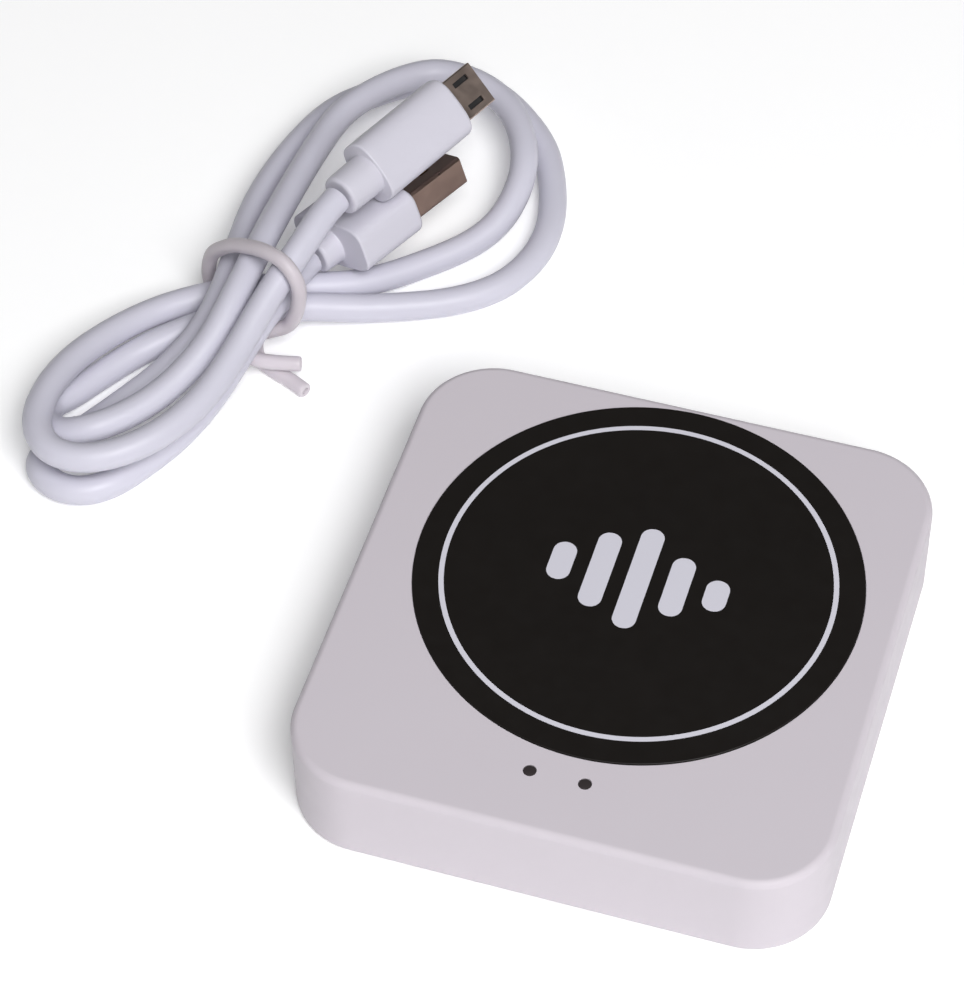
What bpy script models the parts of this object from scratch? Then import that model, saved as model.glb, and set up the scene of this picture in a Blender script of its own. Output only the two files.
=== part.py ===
"""A small square Bluetooth audio receiver with its charging cable, as separate named pieces.

Units are metres, +Z up. The origin is the centre of the receiver's footprint, on the surface it stands on.
The front, with the two status lights, faces -Y. The sockets and pairing button are in the rear wall, at +Y.
"""

import math

import bmesh
import bpy
from mathutils import Matrix, Vector

MM = 0.001
GAP = 0.3 * MM

# The receiver's outside
WIDTH = 72 * MM
DEPTH = 73.8 * MM
FOOT_LIFT = 0.4 * MM
TOP_Z = 15.1 * MM
CORNER_RADIUS = 10.5 * MM
EDGE_RADIUS = 1.1 * MM
WALL = 1.6 * MM
BASE_THICKNESS = 1.6 * MM

# The round label in its shallow recess, a little behind the middle
LABEL_RADIUS = 30 * MM
LABEL_CENTRE = (1.1 * MM, 5.7 * MM)
LABEL_THICKNESS = 0.4 * MM
RECESS_DEPTH = 0.5 * MM

# Status lights
LIGHT_X = (-3.8 * MM, 3.5 * MM)
LIGHT_Y = -27.9 * MM
LIGHT_RADIUS = 0.85 * MM

# Circuit board
BOARD_SIZE = (46 * MM, 63 * MM, 1.6 * MM)
BOARD_Y = 1.6 * MM
BOARD_Z = 3.4 * MM
BOARD_TOP = BOARD_Z + BOARD_SIZE[2]
BOARD_SCREWS = [(x * MM, y * MM) for x in (-20.3, 20.3) for y in (-26, 16)]

# Case screws, near the corners
CASE_SCREWS = [(x * MM, y * MM) for x in (-28.5, 28.5) for y in (-29.4, 29.4)]
POST_RADIUS = 3 * MM
PILOT_RADIUS = 1.35 * MM

# Rubber feet, further in along the two side edges
FEET = [(x * MM, y * MM) for x in (-27, 27) for y in (-20, 20)]
FOOT_RADIUS = 4 * MM
FOOT_HEIGHT = 1.1 * MM

# Rear wall: power inlet, pairing button, audio outlet
REAR_Y = DEPTH / 2
INLET_X = -13 * MM
INLET_Z = 6.7 * MM
BUTTON_X = 0.0
BUTTON_Z = 7.4 * MM
BUTTON_RADIUS = 1.9 * MM
BUTTON_TRAVEL = 0.4 * MM
JACK_X = 13 * MM
JACK_Z = 8.2 * MM

# Charging cable
CABLE_DIAMETER = 4.2 * MM
TIE_DIAMETER = 2.2 * MM
TUBE_STEP = 7.4 * MM

# The cable's centre line in millimetres, from the micro plug to the large plug
CABLE_ROUTE = [
    # from the micro plug, through the tie, down to the first left loop
    (-58.6, 57.8, 18.5), (-59.6, 54.6, 18.2), (-61.0, 48.9, 16.9), (-62.5, 43.8, 15.2), (-63.8, 39.2, 13.5),
    (-65.1, 33.4, 11.5), (-66.6, 26.4, 10.0), (-68.7, 20.3, 9.4), (-72.0, 14.7, 9.2), (-76.2, 10.8, 9.0),
    (-80.5, 8.9, 8.9), (-84.9, 9.3, 8.9), (-88.2, 12.6, 8.8), (-89.6, 17.9, 8.4), (-89.2, 25.7, 7.2),
    (-86.6, 34.0, 5.5), (-81.8, 41.9, 4.1), (-75.6, 46.9, 4.0), (-69.4, 50.0, 4.3), (-63.4, 52.6, 3.9),
    # round the inner right loop, over the outer one
    (-57.4, 55.5, 3.0), (-53.7, 58.1, 2.5), (-48.4, 62.9, 2.2), (-42.0, 69.3, 2.6), (-39.1, 74.0, 3.8),
    (-38.0, 79.2, 5.4), (-38.6, 84.6, 6.6), (-41.6, 91.0, 7.0), (-45.9, 95.6, 7.0), (-51.2, 97.9, 7.0),
    (-56.8, 97.9, 7.2), (-62.1, 93.5, 7.7), (-67.1, 85.0, 8.4), (-68.4, 74.9, 9.2), (-68.7, 62.0, 10.8),
    # through the tie to the innermost left loop
    (-68.3, 49.9, 12.9), (-68.5, 41.4, 12.7), (-69.8, 34.2, 10.2), (-72.2, 28.5, 8.1), (-75.1, 23.5, 7.0),
    (-78.6, 19.0, 6.7), (-82.1, 16.1, 6.5), (-86.2, 15.6, 5.0), (-89.2, 17.6, 3.9), (-90.3, 21.3, 3.0),
    (-88.4, 24.7, 2.4), (-85.6, 29.8, 2.2), (-82.0, 35.2, 2.4), (-76.8, 40.0, 3.3), (-71.0, 43.7, 4.4),
    (-65.5, 46.6, 4.6), (-60.6, 49.1, 4.0), (-54.6, 51.6, 2.9), (-48.4, 54.3, 2.3), (-41.2, 57.8, 2.1),
    # round the outer right loop
    (-35.7, 62.5, 2.1), (-32.7, 68.9, 2.1), (-32.1, 75.6, 2.1), (-33.7, 83.0, 2.1), (-37.2, 91.0, 2.1),
    (-42.3, 96.7, 2.1), (-47.8, 100.6, 2.1), (-53.6, 102.0, 2.2), (-59.2, 100.7, 2.5), (-64.9, 95.8, 3.0),
    (-70.3, 89.0, 3.8), (-73.2, 78.4, 4.9), (-74.2, 65.2, 6.4), (-72.9, 53.3, 8.1), (-72.0, 43.9, 8.4),
    # through the tie to the lowest left loop
    (-73.4, 37.9, 6.0), (-77.1, 31.7, 2.9), (-80.4, 26.1, 2.2), (-83.0, 21.4, 2.1), (-85.4, 17.4, 2.1),
    (-87.6, 14.5, 2.1), (-88.1, 11.4, 2.1), (-85.5, 8.8, 2.1), (-81.3, 8.3, 2.1), (-77.4, 10.6, 2.1),
    (-74.2, 15.5, 2.1), (-71.0, 21.5, 2.5), (-68.3, 28.5, 4.1), (-66.3, 35.5, 6.7), (-64.7, 41.5, 8.7),
    # and up to the large plug
    (-63.1, 46.8, 9.2), (-62.9, 50.0, 8.9), (-62.6, 52.2, 8.5), (-62.1, 54.1, 8.3),
]

# The tie's centre line: one tail, under the bundle and once round it, then back under it to the other tail
TIE_ROUTE = [
    (-56.8, 35.8, 1.1), (-59.7, 37.2, 1.1), (-62.5, 38.3, 1.1), (-65.8, 40.2, 1.1), (-68.0, 45.6, 1.2),
    (-71.8, 48.0, 1.2), (-75.0, 49.6, 1.5), (-76.6, 50.4, 3.6), (-76.4, 50.3, 7.2), (-75.4, 49.9, 10.2),
    (-73.3, 48.9, 12.9), (-70.8, 47.7, 15.4), (-67.8, 46.3, 17.3), (-64.8, 44.9, 18.6), (-61.5, 43.4, 18.7),
    (-59.4, 42.4, 16.2), (-59.5, 42.4, 12.4), (-60.4, 42.7, 8.8), (-61.9, 42.9, 5.9), (-66.1, 41.9, 4.0),
    (-67.6, 39.8, 3.6), (-65.5, 37.7, 3.5), (-62.2, 37.8, 3.5), (-58.3, 38.6, 3.5),
]

MATERIALS = {
    # name: (colour, roughness, metallic)
    "case_plastic": ((0.83, 0.82, 0.84, 1), 0.42, 0.0),
    "label_film": ((0.012, 0.01, 0.01, 1), 0.3, 0.0),
    "light_window": ((0.03, 0.025, 0.025, 1), 0.2, 0.0),
    "led_package": ((0.9, 0.85, 0.6, 1), 0.3, 0.0),
    "circuit_board": ((0.02, 0.18, 0.07, 1), 0.4, 0.0),
    "chip_plastic": ((0.02, 0.02, 0.022, 1), 0.5, 0.0),
    "plated_steel": ((0.42, 0.36, 0.32, 1), 0.28, 1.0),
    "screw_steel": ((0.35, 0.35, 0.36, 1), 0.35, 1.0),
    "black_plastic": ((0.015, 0.015, 0.015, 1), 0.45, 0.0),
    "foot_rubber": ((0.12, 0.12, 0.12, 1), 0.85, 0.0),
    "cable_jacket": ((0.76, 0.75, 0.8, 1), 0.35, 0.0),
    "plug_moulding": ((0.78, 0.77, 0.8, 1), 0.4, 0.0),
    "tie_vinyl": ((0.78, 0.76, 0.78, 1), 0.35, 0.0),
}


def clear_scene():
    for obj in list(bpy.data.objects):
        bpy.data.objects.remove(obj, do_unlink=True)


def make_collection(name):
    collection = bpy.data.collections.new(name)
    bpy.context.scene.collection.children.link(collection)
    return collection


def make_material(name):
    colour, roughness, metallic = MATERIALS[name]
    material = bpy.data.materials.new(name)
    material.use_nodes = True
    shader = material.node_tree.nodes["Principled BSDF"]
    shader.inputs["Base Color"].default_value = colour
    shader.inputs["Roughness"].default_value = roughness
    shader.inputs["Metallic"].default_value = metallic
    material.diffuse_color = colour
    return material


clear_scene()
PARTS = make_collection("bluetooth_audio_receiver")
CUTTERS = make_collection("cutters")


def link_part(name, data, material, place=None):
    obj = bpy.data.objects.new(name, data)
    obj.data.materials.append(make_material(material))
    obj.matrix_world = place or Matrix.Identity(4)
    PARTS.objects.link(obj)
    return obj


def link_cutter(name, data, place=None):
    obj = bpy.data.objects.new(name, data)
    obj.matrix_world = place or Matrix.Identity(4)
    obj.hide_render = True
    obj.display_type = "WIRE"
    CUTTERS.objects.link(obj)
    return obj


def mesh_from(bm, name):
    mesh = bpy.data.meshes.new(name)
    bm.to_mesh(mesh)
    bm.free()
    mesh.shade_smooth()
    mesh.set_sharp_from_angle(angle=math.radians(35))
    return mesh


def slab(name, size, low_z, corner=0.0, edge=0.0, segments=8, edge_segments=3, both=False):
    """A block from low_z up, with rounded upright corners and a rounded top rim, or both rims."""
    bm = bmesh.new()
    bmesh.ops.create_cube(bm, size=1)
    bmesh.ops.scale(bm, vec=size, verts=bm.verts)
    bmesh.ops.translate(bm, vec=(0, 0, low_z + size[2] / 2), verts=bm.verts)
    if corner:
        upright = [e for e in bm.edges if abs(e.verts[0].co.z - e.verts[1].co.z) > size[2] / 2]
        bmesh.ops.bevel(bm, geom=upright, offset=corner, segments=segments, profile=0.5, affect="EDGES")
    if edge:
        middle = low_z + size[2] / 2
        rim = [
            e
            for e in bm.edges
            if abs(e.verts[0].co.z - e.verts[1].co.z) < 1e-7 and (both or e.verts[0].co.z > middle)
        ]
        rim = [e for e in rim if e.calc_face_angle(0) > 0.5]
        bmesh.ops.bevel(bm, geom=rim, offset=edge, segments=edge_segments, profile=0.5, affect="EDGES")
    return mesh_from(bm, name)


def cylinder(name, radius, low_z, high_z, segments=24, top_radius=None):
    bm = bmesh.new()
    bmesh.ops.create_cone(
        bm,
        cap_ends=True,
        segments=segments,
        radius1=radius,
        radius2=radius if top_radius is None else top_radius,
        depth=high_z - low_z,
    )
    bmesh.ops.translate(bm, vec=(0, 0, (low_z + high_z) / 2), verts=bm.verts)
    return mesh_from(bm, name)


def at(x, y, z=0.0):
    return Matrix.Translation((x, y, z))


def facing_rear(x, y, z):
    """Turns a shape's +Z to +Y, and puts its origin at the point."""
    return at(x, y, z) @ Matrix.Rotation(-math.pi / 2, 4, "X")


def boolean(obj, cutter, operation="DIFFERENCE"):
    modifier = obj.modifiers.new(cutter.name, "BOOLEAN")
    modifier.operation = operation
    modifier.solver = "EXACT"
    modifier.object = cutter


def turned(name, profile, material, place, steps=24):
    """A turned solid: the profile's (radius, z) points in millimetres run from top to bottom."""
    bm = bmesh.new()
    points = [bm.verts.new((r * MM, 0, z * MM)) for r, z in profile]
    for first, second in zip(points, points[1:]):
        bm.edges.new((first, second))
    mesh = bpy.data.meshes.new(name)
    bm.to_mesh(mesh)
    bm.free()
    obj = link_part(name, mesh, material, place)
    screw = obj.modifiers.new("turn", "SCREW")
    screw.steps = steps
    screw.render_steps = steps
    screw.use_merge_vertices = True
    screw.merge_threshold = 0.00001
    return obj


def make_top_cover():
    height = TOP_Z - FOOT_LIFT
    cover = link_part(
        "top_cover",
        slab("top_cover", (WIDTH, DEPTH, height), FOOT_LIFT, CORNER_RADIUS, EDGE_RADIUS),
        "case_plastic",
    )
    cavity = slab(
        "cut_cavity",
        (WIDTH - 2 * WALL, DEPTH - 2 * WALL, height - WALL - RECESS_DEPTH + 1 * MM),
        FOOT_LIFT - 1 * MM,
        CORNER_RADIUS - WALL,
        segments=6,
    )
    boolean(cover, link_cutter("cut_cavity", cavity))
    ceiling = TOP_Z - WALL - RECESS_DEPTH
    for index, (x, y) in enumerate(CASE_SCREWS):
        low = FOOT_LIFT + BASE_THICKNESS + GAP
        post = cylinder(f"post_{index}", POST_RADIUS, low, ceiling + 0.4 * MM, 16)
        boolean(cover, link_cutter(f"post_{index}", post, at(x, y)), "UNION")
        pilot = cylinder(f"cut_pilot_{index}", PILOT_RADIUS, 1 * MM, 10 * MM, 12)
        boolean(cover, link_cutter(f"cut_pilot_{index}", pilot, at(x, y)))
    recess = cylinder("cut_recess", LABEL_RADIUS + GAP, TOP_Z - RECESS_DEPTH, TOP_Z + 2 * MM, 72)
    boolean(cover, link_cutter("cut_recess", recess, at(*LABEL_CENTRE)))
    for index, x in enumerate(LIGHT_X):
        hole = cylinder(f"cut_light_{index}", LIGHT_RADIUS + 0.2 * MM, 10 * MM, TOP_Z + 1 * MM, 16)
        boolean(cover, link_cutter(f"cut_light_{index}", hole, at(x, LIGHT_Y)))
    inlet = slab("cut_inlet", (8.2 * MM, 3.4 * MM, 6 * MM), -3 * MM, 1.0 * MM, segments=3)
    boolean(cover, link_cutter("cut_inlet", inlet, facing_rear(INLET_X, REAR_Y, INLET_Z)))
    button_hole = cylinder("cut_button", BUTTON_RADIUS + 0.2 * MM, -3 * MM, 3 * MM, 20)
    boolean(cover, link_cutter("cut_button", button_hole, facing_rear(BUTTON_X, REAR_Y, BUTTON_Z)))
    jack_hole = cylinder("cut_jack", 3.3 * MM, -3 * MM, 3 * MM, 24)
    boolean(cover, link_cutter("cut_jack", jack_hole, facing_rear(JACK_X, REAR_Y, JACK_Z)))


def make_bottom_cover():
    inset = WALL + GAP
    cover = link_part(
        "bottom_cover",
        slab(
            "bottom_cover",
            (WIDTH - 2 * inset, DEPTH - 2 * inset, BASE_THICKNESS),
            FOOT_LIFT,
            CORNER_RADIUS - inset,
            segments=6,
        ),
        "case_plastic",
    )
    floor = FOOT_LIFT + BASE_THICKNESS
    for index, (x, y) in enumerate(BOARD_SCREWS):
        standoff = cylinder(f"standoff_{index}", 2.6 * MM, floor - 0.4 * MM, BOARD_Z - GAP, 16)
        boolean(cover, link_cutter(f"standoff_{index}", standoff, at(x, y)), "UNION")
        pilot = cylinder(f"cut_standoff_{index}", 1.25 * MM, floor - 0.8 * MM, BOARD_Z + 1 * MM, 12)
        boolean(cover, link_cutter(f"cut_standoff_{index}", pilot, at(x, y)))
    for index, (x, y) in enumerate(CASE_SCREWS):
        through = cylinder(f"cut_screw_{index}", 1.35 * MM, -1 * MM, 4 * MM, 12)
        boolean(cover, link_cutter(f"cut_screw_{index}", through, at(x, y)))
        head = cylinder(f"cut_head_{index}", 2.4 * MM, -1 * MM, FOOT_LIFT + 1.0 * MM, 16)
        boolean(cover, link_cutter(f"cut_head_{index}", head, at(x, y)))
    for index, (x, y) in enumerate(FEET):
        recess = cylinder(f"cut_foot_{index}", FOOT_RADIUS + GAP, -1 * MM, FOOT_HEIGHT + GAP, 24)
        boolean(cover, link_cutter(f"cut_foot_{index}", recess, at(x, y)))


def make_feet_and_screws():
    for index, (x, y) in enumerate(FEET, 1):
        radius = FOOT_RADIUS / MM
        height = FOOT_HEIGHT / MM
        profile = [(0, height), (radius, height), (radius, 0.3), (radius - 0.3, 0), (0, 0)]
        turned(f"rubber_foot_{index}", profile, "foot_rubber", at(x, y))
    head_z = FOOT_LIFT / MM + 0.1
    for index, (x, y) in enumerate(CASE_SCREWS, 1):
        profile = [(0, 9.2), (0.6, 9.2), (1.0, 8.4), (1.0, head_z + 0.6), (2.0, head_z + 0.6)]
        profile += [(2.0, head_z + 0.15), (1.85, head_z), (0.7, head_z), (0.5, head_z + 0.3)]
        profile += [(0, head_z + 0.3)]
        turned(f"case_screw_{index}", profile, "screw_steel", at(x, y), 16)
    top = BOARD_TOP / MM + 0.3
    for index, (x, y) in enumerate(BOARD_SCREWS, 1):
        profile = [(0, top + 0.6), (0.4, top + 0.6), (0.55, top + 0.9), (1.6, top + 0.9), (1.8, top + 0.7)]
        profile += [(1.8, top), (0.9, top), (0.9, 2.2), (0.5, 1.8), (0, 1.8)]
        turned(f"board_screw_{index}", profile, "screw_steel", at(x, y), 16)


def make_label_and_lights():
    low = TOP_Z - RECESS_DEPTH + GAP
    disc = cylinder("label_disc", LABEL_RADIUS, low, low + LABEL_THICKNESS, 72)
    link_part("label_disc", disc, "label_film", at(*LABEL_CENTRE))
    for side, x in zip(("left", "right"), LIGHT_X):
        radius = LIGHT_RADIUS / MM
        top = TOP_Z / MM
        profile = [(0, top), (radius, top - 0.05), (radius, 12.6), (1.6, 12.6), (1.6, 12.0), (radius, 11.8)]
        profile += [(radius, 6.4), (0, 6.4)]
        turned(f"light_pipe_{side}", profile, "light_window", at(x, LIGHT_Y), 16)
        led = slab(f"status_led_{side}", (1.6 * MM, 0.8 * MM, 0.6 * MM), BOARD_TOP + GAP)
        link_part(f"status_led_{side}", led, "led_package", at(x, LIGHT_Y))


def make_board():
    plate = slab("main_board", BOARD_SIZE, BOARD_Z, 1 * MM, segments=2)
    board = link_part("main_board", plate, "circuit_board", at(0, BOARD_Y))
    for index, (x, y) in enumerate(BOARD_SCREWS):
        hole = cylinder(f"cut_board_{index}", 1.2 * MM, 1 * MM, 8 * MM, 12)
        boolean(board, link_cutter(f"cut_board_{index}", hole, at(x, y)))
    on_board = BOARD_TOP + GAP
    link_part(
        "bluetooth_module",
        slab("bluetooth_module", (13 * MM, 18 * MM, 0.8 * MM), on_board),
        "circuit_board",
        at(-9 * MM, 4 * MM),
    )
    on_module = on_board + 0.8 * MM + GAP
    can = slab("module_shield_can", (11 * MM, 12 * MM, 1.8 * MM), on_module, 0.6 * MM, 0.3 * MM, 2, 2)
    link_part("module_shield_can", can, "plated_steel", at(-9 * MM, 2 * MM))
    chip = slab("audio_converter_chip", (5 * MM, 5 * MM, 0.9 * MM), on_board)
    link_part("audio_converter_chip", chip, "chip_plastic", at(8 * MM, 6 * MM))
    regulator = slab("power_regulator", (3 * MM, 1.7 * MM, 1.1 * MM), on_board)
    link_part("power_regulator", regulator, "chip_plastic", at(-14 * MM, 20 * MM))
    crystal = slab("crystal_can", (3.2 * MM, 2.5 * MM, 0.8 * MM), on_board, 0.3 * MM, segments=2)
    link_part("crystal_can", crystal, "plated_steel", at(1.5 * MM, -1 * MM))
    inductor = slab("power_inductor", (4 * MM, 4 * MM, 1.8 * MM), on_board, 0.8 * MM, segments=2)
    link_part("power_inductor", inductor, "chip_plastic", at(-6 * MM, 20 * MM))
    for index, (x, y) in enumerate(((13.5 * MM, 15 * MM), (8 * MM, 15 * MM)), 1):
        height = on_board / MM + 5.4
        base = on_board / MM
        profile = [(0, height), (1.8, height), (2, height - 0.2), (2, base), (0, base)]
        turned(f"output_capacitor_{index}", profile, "plated_steel", at(x, y), 16)


def make_inlet():
    """A micro-B receptacle: a thin metal shell, open to the rear, round a thin tongue."""
    place = facing_rear(INLET_X, REAR_Y - 0.6 * MM, INLET_Z)
    outer = slab("micro_usb_socket_shell", (7.5 * MM, 2.7 * MM, 5.2 * MM), -5.2 * MM, 0.6 * MM, segments=2)
    shell = link_part("micro_usb_socket_shell", outer, "plated_steel", place)
    hollow = slab("cut_socket", (6.9 * MM, 2.1 * MM, 6 * MM), -4.7 * MM, 0.4 * MM, segments=2)
    boolean(shell, link_cutter("cut_socket", hollow, place))
    tongue = slab("micro_usb_socket_tongue", (3.8 * MM, 0.6 * MM, 3.6 * MM), -4.4 * MM)
    link_part("micro_usb_socket_tongue", tongue, "black_plastic", place @ at(0, 0.35 * MM))


def make_jack():
    """A 3.5 mm audio socket: a square body behind the wall, and a round metal bush in the hole."""
    inner_wall = REAR_Y - WALL
    body_place = facing_rear(JACK_X, inner_wall - GAP, JACK_Z)
    body = link_part(
        "audio_jack_body",
        slab("audio_jack_body", (6.4 * MM, 5.4 * MM, 11.6 * MM), -11.6 * MM, 0.4 * MM, segments=1),
        "black_plastic",
        body_place,
    )
    bore = cylinder("cut_jack_bore", 1.85 * MM, -10.6 * MM, 1 * MM, 20)
    boolean(body, link_cutter("cut_jack_bore", bore, body_place))
    bush_place = facing_rear(JACK_X, REAR_Y, JACK_Z)
    low = -(WALL / MM)
    profile = [(1.85, 0), (2.9, 0), (3.0, -0.1), (3.0, low), (1.85, low), (1.85, 0)]
    turned("audio_jack_bush", profile, "plated_steel", bush_place)


def make_button():
    """The pairing button and the switch plunger that it presses. They travel along -Y together."""
    radius = BUTTON_RADIUS / MM
    cap_length = 3.4
    profile = [(0, 0), (radius - 0.3, 0), (radius, -0.25), (radius, -2.1), (2.8, -2.1), (2.8, -2.7)]
    profile += [(1.0, -2.7), (1.0, -cap_length), (0, -cap_length)]
    turned("pairing_button", profile, "case_plastic", facing_rear(BUTTON_X, REAR_Y, BUTTON_Z), 20)
    plunger_y = REAR_Y - cap_length * MM - GAP
    turned(
        "switch_plunger",
        [(0, 0), (0.8, 0), (0.8, -1.2), (0, -1.2)],
        "black_plastic",
        facing_rear(BUTTON_X, plunger_y, BUTTON_Z),
        12,
    )
    switch_y = plunger_y - BUTTON_TRAVEL - GAP
    switch_place = facing_rear(BUTTON_X, switch_y, BUTTON_Z)
    switch = link_part(
        "tact_switch",
        slab("tact_switch", (4.4 * MM, 4.0 * MM, 3.2 * MM), -3.2 * MM),
        "plated_steel",
        switch_place,
    )
    well = cylinder("cut_switch_well", 1.05 * MM, -1.6 * MM, 1 * MM, 12)
    boolean(switch, link_cutter("cut_switch_well", well, switch_place))


def smooth_curve(route, samples=12):
    """Points of a centripetal Catmull-Rom curve through the route, in metres."""
    points = [Vector(p) * MM for p in route]
    points = [2 * points[0] - points[1], *points, 2 * points[-1] - points[-2]]
    out = []
    for a, b, c, d in zip(points, points[1:], points[2:], points[3:]):
        t1 = math.sqrt((b - a).length)
        t2 = t1 + math.sqrt((c - b).length)
        t3 = t2 + math.sqrt((d - c).length)
        for step in range(samples):
            t = t1 + (t2 - t1) * step / samples
            ab = a.lerp(b, t / t1)
            bc = b.lerp(c, (t - t1) / (t2 - t1))
            cd = c.lerp(d, (t - t2) / (t3 - t2))
            abc = ab.lerp(bc, t / t2)
            bcd = bc.lerp(cd, (t - t1) / (t3 - t1))
            out.append(abc.lerp(bcd, (t - t1) / (t2 - t1)))
    out.append(points[-2])
    return out


def spaced(points, step):
    """Points about one step apart along the curve, its two ends included."""
    lengths = [0.0]
    for first, second in zip(points, points[1:]):
        lengths.append(lengths[-1] + (second - first).length)
    count = round(lengths[-1] / step)
    out = []
    index = 0
    for k in range(count + 1):
        target = lengths[-1] * k / count
        while index < len(lengths) - 2 and lengths[index + 1] < target:
            index += 1
        share = (target - lengths[index]) / (lengths[index + 1] - lengths[index])
        out.append(points[index].lerp(points[index + 1], min(share, 1)))
    return out


def tube(name, route, diameter, step, material, resolution):
    curve = bpy.data.curves.new(name, "CURVE")
    curve.dimensions = "3D"
    curve.bevel_depth = diameter / 2
    curve.bevel_resolution = resolution
    curve.use_fill_caps = True
    points = spaced(smooth_curve(route), step)
    spline = curve.splines.new("POLY")
    spline.points.add(len(points) - 1)
    for point, place in zip(spline.points, points):
        point.co = (*place, 1)
    return link_part(name, curve, material)


def plug_place(face, yaw, roll):
    """A frame at a plug's moulding face, with +Z along the plug to its tip and +X across its wide side."""
    along = Vector((math.cos(math.radians(yaw)), math.sin(math.radians(yaw)), 0))
    level = Vector((along.y, -along.x, 0))
    wide = Matrix.Rotation(math.radians(roll), 3, along) @ level
    thin = along.cross(wide)
    frame = Matrix((wide, thin, along)).transposed().to_4x4()
    return at(*(Vector(face) * MM)) @ frame


def make_plug(name, place, moulding, relief, shell, wall, tongue):
    """A moulded plug. All but relief, (radius, length), are (width, thickness, length), in millimetres."""
    length = moulding[2]
    size = tuple(v * MM for v in moulding)
    body = slab(f"{name}_moulding", size, -length * MM, 2.6 * MM, 0.9 * MM, 4, 2, True)
    plug = link_part(f"{name}_moulding", body, "plug_moulding", place)
    neck = cylinder(f"{name}_neck", relief[0] * MM, -(length + relief[1]) * MM, -(length - 1) * MM, 20)
    boolean(plug, link_cutter(f"{name}_neck", neck, place), "UNION")
    outer = slab(f"{name}_shell", tuple(v * MM for v in shell), GAP, 0.5 * MM, segments=2)
    metal = link_part(f"{name}_shell", outer, "plated_steel", place)
    inner = ((shell[0] - 2 * wall) * MM, (shell[1] - 2 * wall) * MM, shell[2] * MM)
    hollow = slab(f"cut_{name}", inner, GAP + 0.6 * MM, 0.3 * MM, segments=1)
    boolean(metal, link_cutter(f"cut_{name}", hollow, place))
    bar = slab(f"{name}_tongue", tuple(v * MM for v in tongue), 1.2 * MM)
    link_part(f"{name}_tongue", bar, "black_plastic", place)


make_top_cover()
make_bottom_cover()
make_feet_and_screws()
make_label_and_lights()
make_board()
make_inlet()
make_jack()
make_button()
tube("usb_cable", CABLE_ROUTE, CABLE_DIAMETER, TUBE_STEP, "cable_jacket", 2)
tube("twist_tie", TIE_ROUTE, TIE_DIAMETER, 2 * MM, "tie_vinyl", 1)
make_plug(
    "large_plug",
    plug_place((-55.1, 68.7, 8.3), 64, -22),
    moulding=(15.4, 7.8, 11.8),
    relief=(3.0, 3.4),
    shell=(12, 4.5, 10.4),
    wall=0.4,
    tongue=(10.4, 1.8, 8.0),
)
make_plug(
    "micro_plug",
    plug_place((-48.8, 80.3, 18.5), 66.5, 40),
    moulding=(9.8, 7.0, 18.0),
    relief=(3.2, 6.0),
    shell=(6.85, 1.85, 6.3),
    wall=0.3,
    tongue=(5.0, 0.5, 4.8),
)
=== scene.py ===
"""A small square Bluetooth audio receiver and its tied charging cable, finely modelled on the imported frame.

Shapes and routes are in millimetres, and MM turns them into metres. The camera, lights and textures are in
metres. +Z is up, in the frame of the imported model.
"""

import math

import bmesh
import bpy
from mathutils import Matrix, Vector


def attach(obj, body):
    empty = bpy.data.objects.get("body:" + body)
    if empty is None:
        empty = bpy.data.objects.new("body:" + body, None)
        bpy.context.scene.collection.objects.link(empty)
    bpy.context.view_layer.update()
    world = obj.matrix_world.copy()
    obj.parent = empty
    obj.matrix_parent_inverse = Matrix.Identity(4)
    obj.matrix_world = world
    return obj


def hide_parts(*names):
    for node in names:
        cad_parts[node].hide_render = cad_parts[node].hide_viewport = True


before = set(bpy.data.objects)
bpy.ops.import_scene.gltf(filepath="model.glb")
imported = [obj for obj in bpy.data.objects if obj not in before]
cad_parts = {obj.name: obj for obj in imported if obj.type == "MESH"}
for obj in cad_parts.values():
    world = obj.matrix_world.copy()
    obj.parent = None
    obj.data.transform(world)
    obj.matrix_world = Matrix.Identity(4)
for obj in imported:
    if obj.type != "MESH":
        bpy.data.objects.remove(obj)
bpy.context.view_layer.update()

MM = 0.001
GAP = 0.3
HOUSING = "housing"
BUTTON = "pairing_button"

# The receiver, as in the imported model
HALF_WIDTH = 36.0
HALF_DEPTH = 36.9
FOOT_LIFT = 0.4
TOP_Z = 15.1
CORNER_RADIUS = 10.5
EDGE_RADIUS = 1.1
WALL = 1.6
BASE_THICKNESS = 1.6
LABEL_RADIUS = 30.0
LABEL_CENTRE = (1.1, 5.7)
RECESS_DEPTH = 0.5
LABEL_TOP = 15.3
LIGHT_X = (-3.8, 3.5)
LIGHT_Y = -27.9
LIGHT_RADIUS = 0.85
BOARD_SCREWS = [(x, y) for x in (-20.3, 20.3) for y in (-26, 16)]
CASE_SCREWS = [(x, y) for x in (-28.5, 28.5) for y in (-29.4, 29.4)]
FEET = [(x, y) for x in (-27, 27) for y in (-20, 20)]
FOOT_RADIUS = 4.0
FOOT_HEIGHT = 1.1
FOOT_RECESS_RADIUS = 4.3
POST_RADIUS = 3.0
CASE_PILOT_RADIUS = 1.35
STANDOFF_RADIUS = 2.6
STANDOFF_TOP = 3.1
BOARD_PILOT_RADIUS = 1.25
HEAD_RADIUS = 2.0
HEAD_HOLE_RADIUS = 2.4
LABEL_SLIT = 0.05
LIGHT_SLIT = 0.04
RING_RADII = (25.8, 26.5)
BAR_HALF_WIDTH = 1.6
BAR_HALF_HEIGHTS = (3.2, 6.4, 8.6, 5.0, 2.6)
BAR_PITCH = 5.3
PRINT_THICKNESS = 0.02
INLET = (-13.0, 6.7)
BUTTON_PLACE = (0.0, 7.4)
BUTTON_RADIUS = 1.9
JACK = (13.0, 8.2)
JACK_HOLE_RADIUS = 3.3

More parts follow.
